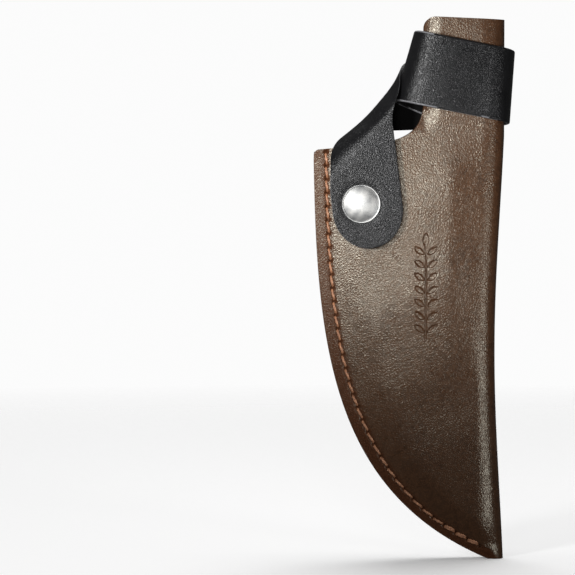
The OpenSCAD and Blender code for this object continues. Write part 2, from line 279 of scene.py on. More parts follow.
# %% Cut edges
def edge_finish(name, dark, light, rough):
    material, tree, shader, place = new_finish(name)
    stretch = add(tree, "ShaderNodeMapping", {"Vector": place, "Scale": (1.0, 4.0, 1.0)})
    fibres = add(tree, "ShaderNodeTexNoise",
                 {"Vector": stretch.outputs[0], "Scale": 1 / (0.9 * MM), "Detail": 5.0, "Roughness": 0.7})
    streaks = add(tree, "ShaderNodeMapRange",
                  {"Value": fibres.outputs["Fac"], "From Min": 0.35, "From Max": 0.65})
    colour = add(tree, "ShaderNodeMix",
                 {0: streaks.outputs["Result"], 6: linear(dark), 7: linear(light)}, data_type="RGBA")
    tree.links.new(colour.outputs[2], shader.inputs["Base Color"])
    shader.inputs["Roughness"].default_value = rough
    bump = add(tree, "ShaderNodeBump",
               {"Height": fibres.outputs["Fac"], "Strength": 0.5, "Distance": 0.12 * MM})
    tree.links.new(bump.outputs[0], shader.inputs["Normal"])
    return material


burnished_edge = edge_finish("burnished_brown_edge", "#2a190f", "#4a2f1f", 0.45)
raw_black_edge = edge_finish("raw_black_edge", "#3a3a3c", "#6d6d70", 0.7)
print("cut edges:", burnished_edge.name, "and", raw_black_edge.name)

# %% [markdown]
# ### Black strap leather
# Pigmented black leather with a thin acrylic top coat: a semi-gloss skin over a fine
# grain, which breaks the highlight into small wrinkles. The grain is 0.62 mm. The
# flesh side has no top coat, so it is dull; it is also made darker and almost without
# reflection as painted shade, for where it shows in the gap between tab and tongue.

# %% Black strap leather
strap_finish, tree, shader, place = new_finish("black_top_coated_leather")
pebbles = pebbled_grain(tree, place, 0.62 * MM)
clouds = add(tree, "ShaderNodeTexNoise",
             {"Vector": place, "Scale": 1 / (7 * MM), "Detail": 3.0, "Roughness": 0.55})
tone = add(tree, "ShaderNodeMapRange", {"Value": clouds.outputs["Fac"], "From Min": 0.3, "From Max": 0.7})
pigment = add(tree, "ShaderNodeMix",
              {0: tone.outputs["Result"], 6: linear("#0b0b0c"), 7: linear("#131314")}, data_type="RGBA")
tree.links.new(pigment.outputs[2], shader.inputs["Base Color"])
coat = add(tree, "ShaderNodeTexNoise",
           {"Vector": place, "Scale": 1 / (3 * MM), "Detail": 3.0, "Roughness": 0.55})
dullness = add(tree, "ShaderNodeMapRange",
               {"Value": coat.outputs["Fac"], "From Min": 0.3, "From Max": 0.7,
                "To Min": 0.27, "To Max": 0.33})
tree.links.new(dullness.outputs["Result"], shader.inputs["Roughness"])
creases = add(tree, "ShaderNodeTexNoise",
              {"Vector": place, "Scale": 1 / (1.6 * MM), "Detail": 3.0, "Roughness": 0.6})
bump_creases = add(tree, "ShaderNodeBump",
                   {"Height": creases.outputs["Fac"], "Strength": 0.3, "Distance": 0.15 * MM})
bump = add(tree, "ShaderNodeBump",
           {"Height": pebbles, "Strength": 0.7, "Distance": 0.07 * MM, "Normal": bump_creases.outputs[0]})
tree.links.new(bump.outputs[0], shader.inputs["Normal"])
shader.inputs["Specular IOR Level"].default_value = 0.2
print("the strap's finish has", len(tree.nodes), "nodes")

# %% Flesh side of the strap, made dark as painted shade
flesh_side_painted_shade, tree, shader, place = new_finish("black_flesh_side_painted_shade")
fibres = add(tree, "ShaderNodeTexNoise", {"Vector": place, "Scale": 1 / (0.7 * MM), "Detail": 4.0})
# Painted shade: a dull black almost without reflection, for the shade the flesh side lies in.
shader.inputs["Base Color"].default_value = linear("#0a0a0a")
shader.inputs["Roughness"].default_value = 0.9
shader.inputs["Specular IOR Level"].default_value = 0.05
bump = add(tree, "ShaderNodeBump", {"Height": fibres.outputs["Fac"], "Strength": 0.6, "Distance": 0.1 * MM})
tree.links.new(bump.outputs[0], shader.inputs["Normal"])
print("flesh side:", flesh_side_painted_shade.name)

# %% [markdown]
# ### Waxed thread
# The thread is rust-brown waxed polyester: two plies, which are modelled, and a dark
# sheen between the fibres.

# %% Waxed thread
thread_finish, tree, shader, place = new_finish("rust_waxed_polyester_thread")
strands = add(tree, "ShaderNodeTexNoise",
              {"Vector": place, "Scale": 1 / (0.3 * MM), "Detail": 3.0, "Roughness": 0.55})
fibre = add(tree, "ShaderNodeMapRange",
            {"Value": strands.outputs["Fac"], "From Min": 0.3, "From Max": 0.7}).outputs["Result"]
rust = add(tree, "ShaderNodeMix", {0: fibre, 6: linear("#5b3120"), 7: linear("#c08c68")}, data_type="RGBA")
tree.links.new(rust.outputs[2], shader.inputs["Base Color"])
shader.inputs["Roughness"].default_value = 0.5
bump = add(tree, "ShaderNodeBump", {"Height": fibre, "Strength": 0.4, "Distance": 0.05 * MM})
tree.links.new(bump.outputs[0], shader.inputs["Normal"])
print("thread:", thread_finish.name)

# %% [markdown]
# ### Brushed nickel
# The fittings are nickel-plated steel, brushed and a little scuffed, so their
# reflection is soft and uneven.

# %% Brushed nickel
nickel_finish, tree, shader, place = new_finish("brushed_nickel_plate")
brushed = add(tree, "ShaderNodeMapping",
              {"Vector": place, "Rotation": (0.0, 0.6, 0.0), "Scale": (1.0, 1.0, 7.0)})
lines = add(tree, "ShaderNodeTexNoise",
            {"Vector": brushed.outputs[0], "Scale": 1 / (1.4 * MM), "Detail": 4.0, "Roughness": 0.6})
smears = add(tree, "ShaderNodeTexNoise",
             {"Vector": place, "Scale": 1 / (3.5 * MM), "Detail": 3.0, "Roughness": 0.55})
smudge = add(tree, "ShaderNodeMapRange", {"Value": smears.outputs["Fac"], "From Min": 0.3, "From Max": 0.7})
plate = add(tree, "ShaderNodeMix",
            {0: smudge.outputs["Result"], 6: linear("#8b8c8c"), 7: linear("#bcbbb8")}, data_type="RGBA")
tree.links.new(plate.outputs[2], shader.inputs["Base Color"])
shader.inputs["Metallic"].default_value = 1.0
scuffs = add(tree, "ShaderNodeMapRange",
             {"Value": smears.outputs["Fac"], "From Min": 0.3, "From Max": 0.7,
              "To Min": 0.48, "To Max": 0.6})
tree.links.new(scuffs.outputs["Result"], shader.inputs["Roughness"])
bump = add(tree, "ShaderNodeBump", {"Height": lines.outputs["Fac"], "Strength": 0.25, "Distance": 0.03 * MM})
tree.links.new(bump.outputs[0], shader.inputs["Normal"])
print("fittings:", nickel_finish.name)

# %% [markdown]
# ## Outline of the hide
# The outline has a straight tongue with one round corner, a hollow curve across the
# mouth, a shoulder and one long curve down to the tip. The fold bows in a little. The
# pouch is a flat stack at its stitched edge and swells to its full depth inside.

# %% Outline of the hide
HIDE_T = 2.0
POUCH_HALF = 5.5
STACK_HALF = 3.3
TONGUE_EXTRA = 0.4
TOP_Z, TIP_Z, TIP_X = 86.2, hide_low.z / MM, 19.0
TONGUE_X, SPINE_X, SPINE_SWING, SPINE_SPREAD = -6.2, 21.5, 5.15, 55.0
CORNER_R, SHOULDER_R = 4.6, 2.4
RIDGE_X, RIDGE_RISE = 3.0, 1.3
MOUTH_Z = 52.0
SHOULDER = (-48.6, 35.0)
STITCHED_EDGE = [(-48.6, 31), (-47.4, -38), (-43, -97.7), (TIP_X, TIP_Z)]
MOUTH_EDGE = [(TONGUE_X, MOUTH_Z), (-7.5, 37), (-20, 37.4), (-46.2, 35)]

edge_samples = bezier(STITCHED_EDGE, np.linspace(0, 1, 800))


def stitched_x(z):
    return np.interp(-z, -edge_samples[:, 1], edge_samples[:, 0])


def fold_x(z):
    reach = (np.minimum(z, 40) + 42) / SPINE_SPREAD
    return SPINE_X + SPINE_SWING * (1 - np.exp(-(reach**2) / 2))


def half_at(x, z):
    """Half the outer thickness of the sheath."""
    full = POUCH_HALF + TONGUE_EXTRA * smooth((z - 40) / 12)
    ramp = smooth((x - stitched_x(z) - 2) / 20)
    squeeze = 2.3 * smooth((z - 40) / 12) * (1 - np.clip((x - TONGUE_X) / 7, 0, 1)) ** 2
    return STACK_HALF + (full - STACK_HALF) * ramp - squeeze


def ridge(x, z):
    """How much the front panel swells beyond the back one, beside the spine."""
    rise = 1 - (1 - np.clip(1 - (RIDGE_X - x) / 30, 0, 1)) ** 1.5
    fall = smooth(1 - (x - RIDGE_X) / 12.5)
    along = smooth((42 - z) / 24) * smooth((z + 70) / 50)
    return RIDGE_RISE * along * np.where(x < RIDGE_X, rise, fall)


def face_y(x, z, side):
    """Height of the hide's outer face above the middle, on the front (-1) or the back (1)."""
    return half_at(x, z) + np.where(side < 0, ridge(x, z), 0)


def tilt_top(x, z):
    return z - 0.045 * (x - TONGUE_X) * smooth((z - MOUTH_Z) / 30)


# %% [markdown]
# ## The folded hide
# The maker cuts both panels and the tongue from one flat hide and folds it wet over a
# former. The same is done here: a flat grid is laid on the outline, row by row from
# the top to the tip, so that its middle columns go round the fold. Solidify gives the
# hide its 2 mm inwards, and Bevel breaks the cut edges as a beveller would.

# %% Rows of the hide
quarter = np.linspace(0, np.pi / 2, 8, endpoint=False)
small_quarter = np.linspace(0, np.pi / 2, 6, endpoint=False)
corner_rows = np.c_[TONGUE_X + CORNER_R * (1 - np.sin(quarter)), TOP_Z - CORNER_R * (1 - np.cos(quarter))]
side_rows = np.c_[np.full(26, TONGUE_X), np.linspace(TOP_Z - CORNER_R, MOUTH_Z, 26, endpoint=False)]
mouth_rows = bezier(MOUTH_EDGE, np.linspace(0, 1, 36, endpoint=False))
shoulder_rows = np.c_[SHOULDER[0] + SHOULDER_R * (1 - np.sin(small_quarter)),
                      SHOULDER[1] - SHOULDER_R * (1 - np.cos(small_quarter))]
pouch_rows = bezier(STITCHED_EDGE, np.linspace(0, 1, 151))
left_rows = np.r_[corner_rows, side_rows, mouth_rows, shoulder_rows, pouch_rows]
first_mouth, first_pouch = 34, 76
right_z = left_rows[:, 1].copy()
steps = np.linalg.norm(np.diff(left_rows[first_mouth : first_pouch + 1], axis=0), axis=1)
share = np.r_[0, np.cumsum(steps)] / steps.sum()
right_z[first_mouth : first_pouch + 1] = MOUTH_Z + (STITCHED_EDGE[0][1] - MOUTH_Z) * share
print("the hide has", len(left_rows), "rows")

# %% Fold the hide
FLAT_COLUMNS, NOSE_COLUMNS, NOSE_L = 52, 20, 9.0
columns = 2 * FLAT_COLUMNS + NOSE_COLUMNS
hide = flat_grid("hide", columns, len(left_rows) - 1)
flat = get_points(hide)
row = (1 - flat[:, 1]) / 2 * (len(left_rows) - 1)
row_index = np.arange(len(left_rows))
xl = np.interp(row, row_index, left_rows[:, 0])
zl = np.interp(row, row_index, left_rows[:, 1])
zr = np.interp(row, row_index, right_z)
xr = fold_x(zr)
nose = np.minimum(NOSE_L, 0.5 * (xr - xl))
x_nose = xr - nose
nose_share = NOSE_COLUMNS / columns
away = np.abs(flat[:, 0])
panel = np.clip((away - nose_share) / (1 - nose_share), 0, 1)
turn = np.clip(away / nose_share, 0, 1) * np.pi / 2
on_panel = away > nose_share
x = np.where(on_panel, x_nose + (xl - x_nose) * panel, x_nose + nose * np.cos(turn))
z = zl + (zr - zl) * (x - xl) / (xr - xl)
half = np.where(on_panel, face_y(x, z, flat[:, 0]), half_at(x_nose, zr) * np.sin(turn))
folded = np.c_[x, np.sign(flat[:, 0]) * half, tilt_top(x, z)]
set_points(hide, folded)
hide.data.materials.append(hide_finish)
hide.data.materials.append(burnished_edge)
modify(hide, "SOLIDIFY", thickness=HIDE_T, offset=-1, use_even_offset=False, material_offset_rim=1)
modify(hide, "BEVEL", width=0.5, segments=2, limit_method="ANGLE", angle_limit=np.radians(55), material=1)
print("hide is", np.round(np.ptp(get_points(hide), axis=0), 1), "mm")

# %% [markdown]
# ## Stitch line and tooling
# The stitches run in a groove 4.9 mm in from the edge, and 3.4 mm near the tip. They
# are 5.25 mm apart, through pricked holes. A small tooled fern stands on the front
# panel. The hide is cut finer only where a groove, a hole or a tool mark needs it, and
# then those points are pressed in.

# %% Stitch places
PITCH, THREAD_R = 5.25, 0.5


def inset_points(t, inset):
    ahead, behind = bezier(STITCHED_EDGE, t + 0.002), bezier(STITCHED_EDGE, t - 0.002)
    along = (ahead - behind) / np.linalg.norm(ahead - behind, axis=-1, keepdims=True)
    return bezier(STITCHED_EDGE, t) + inset * np.c_[-along[:, 1], along[:, 0]]


INSET, TIP_INSET_LOSS = 4.9, 1.5
line_t = np.linspace(-0.014, 0.99, 600)
line_inset = INSET - TIP_INSET_LOSS * smooth((line_t - 0.55) / 0.4)
stitch_line = inset_points(line_t, line_inset[:, None])
stitch_run = np.r_[0, np.cumsum(np.linalg.norm(np.diff(stitch_line, axis=0), axis=1))]
stitch_count = int(stitch_run[-1] / PITCH)


def on_line(distance):
    return np.array([np.interp(distance, stitch_run, stitch_line[:, k]) for k in (0, 1)])


print(stitch_count, "stitches a side on", round(stitch_run[-1]), "mm")

# %% The tooled fern
FERN_X, FERN_LOW, FERN_HIGH, LEAF_GAP = -5.4, -38.5, 2.8, 5.0


def leaf(x, z, base_x, base_z, angle, length, width):
    """How far inside a leaf-shaped tool mark a point lies, in mm; negative outside."""
    c, s = np.cos(angle), np.sin(angle)
    along = (x - base_x) * c + (z - base_z) * s - length / 2
    side = np.abs(-(x - base_x) * s + (z - base_z) * c)
    r = (length**2 / 4 + width**2 / 4) / width
    return r - np.hypot(along, side + r - width / 2)


def fern(x, z):
    stem = 0.35 - np.hypot(x - FERN_X, z - np.clip(z, FERN_LOW, FERN_HIGH - 5))
    inside = np.maximum(stem, leaf(x, z, FERN_X, FERN_HIGH - 5.2, np.pi / 2, 5.2, 2.2))
    for step in range(7):
        base = FERN_LOW + 3 + step * LEAF_GAP
        for angle in (np.radians(38), np.radians(142)):
            shift = 0.7 if angle < 1.5 else -0.7
            inside = np.maximum(inside, leaf(x, z, FERN_X + shift, base, angle, 4.6, 1.9))
    return inside


# %% Cut the hide finer where it is worked
def near_line(x, z):
    """Distance to the stitch line, and the run along it, for arrays of points."""
    apart = np.hypot(x[:, None] - stitch_line[None, :, 0], z[:, None] - stitch_line[None, :, 1])
    nearest = apart.argmin(axis=1)
    return apart[np.arange(len(x)), nearest], stitch_run[nearest]


centres, normals = face_data(hide, "center"), face_data(hide, "normal")
outside = np.abs(centres[:, 1]) > face_y(centres[:, 0], centres[:, 2], centres[:, 1]) - 0.5
faces_out = outside & (np.abs(normals[:, 1]) > 0.8)
margin = np.full(len(centres), 99.0)
margin[faces_out] = near_line(centres[faces_out, 0], centres[faces_out, 2])[0]
edit_faces(hide, margin < 1.5)
bpy.ops.mesh.subdivide(number_cuts=3)
leave_edit()
centres, normals = face_data(hide, "center"), face_data(hide, "normal")
in_fern = np.abs(centres[:, 0] - FERN_X) < 5.4
in_fern &= (centres[:, 2] > FERN_LOW - 1) & (centres[:, 2] < FERN_HIGH + 1)
edit_faces(hide, in_fern & (normals[:, 1] < -0.8) & (centres[:, 1] < -4))
bpy.ops.mesh.subdivide(number_cuts=4)
leave_edit()
print("hide has", len(hide.data.polygons), "faces after cutting")

# %% Press in the groove, the holes and the fern
points = get_points(hide)
x, y, z = points.T
outer = np.abs(y) > face_y(x, z, y) - 0.6
side = np.sign(y)
inwards = np.zeros(len(points))
close = outer & (x - stitched_x(z) < 9)
apart, run = near_line(x[close], z[close])
from_hole = np.abs((run / PITCH + 0.5) % 1 - 0.5) * PITCH
groove = 0.28 * np.exp(-((apart / 0.9) ** 2))
hole = 0.85 * np.exp(-(apart**2 + from_hole**2) / 0.4)
edge_x, edge_z = edge_samples[None, ::2, 0], edge_samples[None, ::2, 1]
from_edge = np.hypot(x[close][:, None] - edge_x, z[close][:, None] - edge_z).min(axis=1)
inwards[close] += groove + hole + 0.5 * smooth((4.2 - from_edge) / 4.2)
front = outer & (y < 0) & (np.abs(x - FERN_X) < 6) & (z < FERN_HIGH + 2) & (z > FERN_LOW - 2)
inwards[front] += 0.42 * smooth((fern(x[front], z[front]) + 0.18) / 0.36)
sway = 0.10 * np.sin(x / 6.1 + z / 9.7) + 0.08 * np.sin(z / 5.3 - x / 8.9 + 1.3)
swell = smooth((x - stitched_x(z) - 8) / 12) * smooth((fold_x(z) - x - 5) / 6)
inwards += sway * swell
points[:, 1] -= side * inwards
edge_value = np.zeros(len(points))
edge_value[close] = np.exp(-((apart / 1.5) ** 2)) * (0.55 + 0.45 * np.exp(-((from_hole / 1.1) ** 2)))
edge_value[close] = np.maximum(edge_value[close], 0.9 * smooth((5.2 - from_edge) / 1.6))
set_points(hide, points)
attribute = hide.data.attributes.new("edge", "FLOAT", "POINT")
attribute.data.foreach_set("value", edge_value.astype(np.float32))
to_row(hide)
finish_piece(hide, "sheath", ["folded_body"])

# %% [markdown]
# ## The welt
# A welt is a strip of the same hide between the panels, so that the blade can't cut
# the thread. It ends just short of the tip and sits a little in from the panels.

# %% The welt
WELT_T, WELT_W, WELT_END, LIP = 2 * (STACK_HALF - HIDE_T), 8.0, 0.93, 0.15
welt = flat_grid("welt_strip", 8, 170)
flat = get_points(welt)
t = (1 - flat[:, 1]) / 2 * (WELT_END + 0.02) - 0.02
inset = LIP + (flat[:, 0] + 1) / 2 * (WELT_W - LIP)
place_xz = inset_points(np.clip(t, 0, 1), inset[:, None])
place_xz[:, 1] += np.clip(-t, 0, 1) / 0.02 * 3.1
set_points(welt, np.c_[place_xz[:, 0], np.full(len(t), -WELT_T / 2), place_xz[:, 1]])
welt.data.materials.append(burnished_edge)
modify(welt, "SOLIDIFY", thickness=WELT_T, offset=-1)
modify(welt, "BEVEL", width=0.3, segments=2, limit_method="ANGLE", angle_limit=np.radians(55))
to_row(welt)
finish_piece(welt, "sheath", ["welt"])

# %% [markdown]
# ## The strap
# The strap is cut flat: 28 mm wide, 1.6 mm thick, with a round end. It starts at two
# rivets behind the tongue, and three bends take it round the open side, round the
# spine and on a slant to the front, where it ends in the snap tab. Each bend is a
# plain roll round a slanted axis, so the strap is never stretched, as real leather
# isn't. `roll` takes points of the flat strap and gives them in the bent one.

# %% The strap's bends
STRAP_W, TAB_W, STRAP_T, TAB_L, TAB_END = 28.0, 27.0, 1.6, 37.5, 15.0
STRAP_ROOT = np.array([11.5, POUCH_HALF + TONGUE_EXTRA + STRAP_T / 2 + 0.1, 56.0])
STRAP_RISE = np.radians(23)
OPEN_SLANT, SPINE_SLANT, TURN_SLANT = np.radians([6, -7, -43])
OPEN_R, SPINE_R, TURN_R = 6.85, 8.35, 9.7
OPEN_S, FRONT_RUN, REAR_RUN = 19.5, 25.4, 31.4


def bend_length(r, slant):
    return np.pi * r / np.cos(slant)


SPINE_S = OPEN_S + bend_length(OPEN_R, OPEN_SLANT) + FRONT_RUN
TURN_S = SPINE_S + bend_length(SPINE_R, SPINE_SLANT) + REAR_RUN
TAB_S = TURN_S + bend_length(TURN_R, TURN_SLANT)
BENDS = [(OPEN_S, OPEN_SLANT, OPEN_R), (SPINE_S, SPINE_SLANT, SPINE_R), (TURN_S, TURN_SLANT, TURN_R)]


def strap_half(s, side):
    """Half the strap's width at a length along it, on its upper (1) or lower (-1) side."""
    half_w = (STRAP_W + (TAB_W - STRAP_W) * smooth((s - SPINE_S) / (TAB_S - SPINE_S))) / 2
    waist = 1.6 * smooth((s - TURN_S) / (TAB_S - TURN_S)) * smooth((TAB_S + 16 - s) / 14)
    return half_w - np.where(side < 0, waist, 0)


def shift_by(s, w, n):
    m = np.tile(np.eye(4), (len(s), 1, 1))
    m[:, 0, 3], m[:, 1, 3], m[:, 2, 3] = s, w, n
    return m


def roll(s, w, n):
    """Points of the bent strap, from length, width and height in the flat one."""
    total = shift_by(np.zeros_like(s), 0, 0)
    for start, slant, r in BENDS:
        u, v = np.sin(slant), np.cos(slant)
        a = np.clip(((s - start) * v - w * u) / r, 0, np.pi)
        c, sn, zero = np.cos(a), np.sin(a), np.zeros_like(a)
        turn = np.tile(np.eye(4), (len(s), 1, 1))
        turn[:, :3, :3] = np.array([
            [c + u * u * (1 - c), u * v * (1 - c), v * sn],
            [u * v * (1 - c), c + v * v * (1 - c), -u * sn],
            [-v * sn, u * sn, c]]).transpose(2, 0, 1)
        out = shift_by(zero + start, 0, -r)
        back = shift_by(-start - r * a * v, r * a * u, r)
        total = total @ out @ turn @ back
    p = np.einsum("nij,nj->ni", total, np.c_[s, w, n, np.ones_like(s)])
    rise, run = np.sin(STRAP_RISE), np.cos(STRAP_RISE)
    return STRAP_ROOT + np.c_[-p[:, 0] * run + p[:, 1] * rise, p[:, 2], p[:, 0] * rise + p[:, 1] * run]


tab_root = roll(np.array([TAB_S]), np.zeros(1), np.zeros(1))[0]
print("the tab starts at", tab_root.round(1), "mm")

# %% [markdown]
# The strap is made as two grids that meet on the flat run behind the tongue, where a
# seam can't show: one rides on the sheath, and the other carries the tab, which on the
# real strap bends at the hinge. The tab's round end is drawn by squeezing the last rows
# of the square grid into half a disc. Leather sags a little between its supports, so
# the front run is given a slight crown, the slanted turn is drawn in where the pull
# closes it up, and the tab is pressed down round the snap cap. The raw edge shows light
# on the right.

# %% Cut and roll the strap
CUT_S = SPINE_S + bend_length(SPINE_R, SPINE_SLANT) + 12
SNAP_S, SNAP_W = TAB_S + 20.1, -2.2
CAP_R = 7.5
DRAWN_IN, DRAWN_Z, DRAWN_REACH = 5.1, 53.5, 14.5


def crown(s, w):
    """Extra height of the strap's middle surface over its ideal path."""
    rise = 2.5 * smooth((s - 28) / 15) * smooth((70 - s) / 26)
    from_cap = np.hypot(s - SNAP_S, w - SNAP_W)
    return rise - 0.30 * smooth((CAP_R + 1.8 - from_cap) / 2.2)


def settle(points):
    """Draws the outside of the slanted turn in, as the pulled leather closes up there."""
    x, z = points[:, 0], points[:, 2]
    from_turn = x + 18.9 - 0.834 * (z - 65.2)
    moved = points.copy()
    height = np.exp(-((np.abs(z - DRAWN_Z) / DRAWN_REACH) ** 3))
    moved[:, 0] += DRAWN_IN * height * smooth(1 - from_turn / 17)
    return moved


def strap_piece(name, start, end, rows, round_end):
    obj = flat_grid(name, 40, rows)
    flat = get_points(obj)
    s = start + (end - start) * (flat[:, 1] + 1) / 2
    w = flat[:, 0] * strap_half(s, flat[:, 0])
    if round_end:
        q = np.clip((s - (end - TAB_END)) / TAB_END, 0, 1)
        s = np.where(q > 0, end - TAB_END + TAB_END * q * np.sqrt(1 - (flat[:, 0] ** 2) / 2), s)
        w = w * np.sqrt(1 - q**2 / 2)
    set_points(obj, np.c_[w, s, np.zeros_like(s)])
    obj.data.materials.append(strap_finish)
    obj.data.materials.append(raw_black_edge)
    modify(obj, "SOLIDIFY", thickness=STRAP_T, offset=0, material_offset_rim=1)
    modify(obj, "BEVEL", width=0.65, segments=2, limit_method="ANGLE", angle_limit=np.radians(55),
           material=1)
    obj.data.materials.append(flesh_side_painted_shade)
    index = face_data(obj, "material_index")
    inner = face_data(obj, "center")[:, 2] < -STRAP_T / 2 + 0.05
    at_seam = np.abs(face_data(obj, "center")[:, 1] - CUT_S) < 0.8
    # The inner faces take the flesh finish, whose darkness is painted shade.
    index[inner & (index == 0)] = 2
    w, s, n = get_points(obj).T
    bent = roll(s, w, n + crown(s, w))
    set_points(obj, settle(bent) if round_end else bent)
    # Painted shade: cut edges that face left take the black face finish, so only the edges that face right
    # show the raw edge's lighter grey.
    index[(index == 1) & (at_seam | (face_data(obj, "normal")[:, 0] < 0))] = 0
    obj.data.polygons.foreach_set("material_index", index)
    return obj


strap_wrap = strap_piece("strap_wrap", 0, CUT_S, 150, False)
strap_tail = strap_piece("strap_tail", CUT_S, TAB_S + TAB_L, 130, True)
for piece in (strap_wrap, strap_tail):
    edit_faces(piece, np.ones(len(piece.data.polygons), bool))
    bpy.ops.mesh.normals_make_consistent(inside=False)
    leave_edit()
    to_row(piece)
finish_piece(strap_wrap, "sheath", ["strap_band"])
finish_piece(strap_tail, None, ["strap_tab"])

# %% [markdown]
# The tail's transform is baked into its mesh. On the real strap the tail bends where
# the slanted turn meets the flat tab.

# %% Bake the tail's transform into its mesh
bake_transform(strap_tail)

# %% [markdown]
# ## Fittings
# Caps, sockets and rivets are turned parts. Each is drawn as half a section, a chain of
# points from its axis outwards, and spun round, as on a lathe.

# %% Spin a turned part
def turned(name, section, centre, direction, body, replaced, steps=64):
    """Spins a section of (radius, height) points in mm and stands it at a place in metres."""
    bpy.ops.object.select_all(action="DESELECT")
    bpy.ops.mesh.primitive_plane_add(size=1)
    obj = bpy.context.object
    obj.name = obj.data.name = name
    bpy.context.tool_settings.mesh_select_mode = (True, False, False)
    bpy.ops.object.mode_set(mode="EDIT")
    bpy.ops.mesh.merge(type="CENTER")
    bpy.ops.transform.translate(value=(section[0][0], 0, section[0][1]))
    for (r0, h0), (r1, h1) in zip(section, section[1:]):
        bpy.ops.mesh.extrude_region_move(TRANSFORM_OT_translate={"value": (r1 - r0, 0, h1 - h0)})
    bpy.ops.mesh.select_all(action="SELECT")
    bpy.ops.mesh.spin(steps=steps, angle=2 * np.pi, center=(0, 0, 0), axis=(0, 0, 1))
    bpy.ops.mesh.select_all(action="SELECT")
    bpy.ops.mesh.remove_doubles(threshold=0.001)
    bpy.ops.mesh.normals_make_consistent(inside=False)
    leave_edit()
    stand = Vector((0, 0, 1)).rotation_difference(Vector(direction)).to_matrix().to_4x4()
    obj.data.transform(Matrix.Translation(centre) @ stand @ Matrix.Scale(MM, 4))
    obj.data.materials.append(nickel_finish)
    finish_piece(obj, body, replaced)
    return obj


def dome(radius, rise, points=9):
    """A dome's section from the top outwards."""
    angle = 2 * np.arctan(rise / radius)
    big = radius / np.sin(angle)
    return [(big * np.sin(angle * k / points), rise - big * (1 - np.cos(angle * k / points)))
            for k in range(points + 1)]


# %% [markdown]
# The snap's cap is a shallow dome with a rolled rim, on the outside of the tab. Below
# the tab its socket grips the stud's knob with a sprung ring, and the stud is
# riveted through the front panel from inside the pouch.

# %% The snap
def middle(node):
    low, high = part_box(node)
    return (low + high) / 2


snap_x, snap_z = middle("snap_cap").x, middle("snap_cap").z
tab_face = tab_root[1] * MM + MID_Y - STRAP_T / 2 * MM
seat = Vector((snap_x, tab_face + 0.25 * MM, snap_z))
rim = [(6.75, 0.72), (6.95, 0.86), (7.2, 0.88), (7.42, 0.72), (7.5, 0.45), (7.42, 0.15), (7.1, 0.0),
       (0.0, 0.0)]
cap_section = [(r * 6.6 / 6.75, h + 0.62) for r, h in dome(6.75, 1.55)] + rim
turned("snap_cap_spun", cap_section, seat, (0, -1, 0), "tab", ["snap_cap"], 72)

socket_low, socket_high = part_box("snap_socket")
socket_h = (socket_high.y - socket_low.y) / MM
socket_section = [(0, 0.3), (4.5, 0.3), (4.5, 1.0), (4.7, 1.15), (4.7, 1.75), (4.4, 1.95),
                  (4.45, socket_h - 0.15), (4.75, socket_h), (5.2, socket_h), (5.45, socket_h - 0.3),
                  (5.45, 0.9), (5.7, 0.55), (6.0, 0.45), (6.0, 0.1), (5.8, 0.0), (0, 0.0)]
turned("snap_socket_spun", socket_section, Vector((snap_x, socket_low.y, snap_z)), (0, 1, 0), "tab",
       ["snap_socket"])

stud_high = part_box("snap_stud")[1]
stud_section = [(0, 2.3), (0.9, 2.3), (1.2, 2.55), (1.7, 2.8), (2.7, 2.8), (3.25, 2.6), (3.4, 2.15),
                (3.25, 1.7), (2.95, 1.35), (2.9, 0.95), (3.2, 0.72), (4.7, 0.6), (5.05, 0.45), (5.2, 0.2),
                (5.1, -0.6), (0, -0.6)]
turned("snap_stud_spun", stud_section, Vector((snap_x, stud_high.y, snap_z)), (0, -1, 0), "sheath",
       ["snap_stud"])

# %% [markdown]
# The rivets are double-capped: a domed cap outside and a flat head inside. The inside
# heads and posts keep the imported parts' own shapes, and only take the nickel finish.

# %% Rivets and the parts that keep their shape
cap_points = [(r, h + 0.15) for r, h in dome(4.05, 0.8)]
rivet_section = cap_points + [(4.25, 0.2), (4.4, 0.28), (4.5, 0.15), (4.42, 0.0), (0, 0.0)]
for node in sorted(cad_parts):
    if "rivet_cap" in node:
        low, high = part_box(node)
        centre = Vector((middle(node).x, low.y, middle(node).z))
        turned(node + "_spun", rivet_section, centre, (0, 1, 0), "sheath", [node], 48)
for node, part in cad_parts.items():
    if "post" in node or node == "snap_spring":
        part.data.materials.clear()
        part.data.materials.append(nickel_finish)

# %% [markdown]
# ## Stitches
# Saddle stitch: two-ply waxed thread that lies 4.6 mm on the surface and dips into the
# next hole. One stitch is a cylinder cut across into rings; its points are twisted
# into two plies and bowed. The rest are copies on the stitch line, front and back,
# and the last three are sewn twice to lock the seam.

# %% One stitch
RINGS, SIDES, STITCH_L = 16, 12, 4.6
bpy.ops.object.select_all(action="DESELECT")
bpy.ops.mesh.primitive_cylinder_add(vertices=SIDES, radius=1, depth=2, end_fill_type="NGON")
stitch = bpy.context.object
stitch.name = "stitch"
pick(stitch)
bpy.context.tool_settings.mesh_select_mode = (False, True, False)
bpy.ops.object.mode_set(mode="EDIT")
bpy.ops.mesh.select_all(action="DESELECT")
leave_edit()
heights = get_points(stitch)[:, 2]
for side_edge in stitch.data.edges:
    a, b = side_edge.vertices
    side_edge.select = bool(abs(heights[a] - heights[b]) > 1)
bpy.ops.object.mode_set(mode="EDIT")
bpy.ops.mesh.subdivide(number_cuts=RINGS - 1)
leave_edit()
p = get_points(stitch)
q = p[:, 2]
around = np.arctan2(p[:, 1], p[:, 0])
ply = THREAD_R * (0.72 + 0.36 * np.abs(np.cos(around - q * 3.6)))
dip = 0.30 - 1.25 * np.abs(q) ** 3.2
slant = 0.32 * q
set_points(stitch, np.c_[q * STITCH_L / 2, slant + ply * np.cos(around), dip + ply * np.sin(around) * 0.9])
stitch.data.materials.append(thread_finish)
print("a stitch has", len(stitch.data.polygons), "faces")

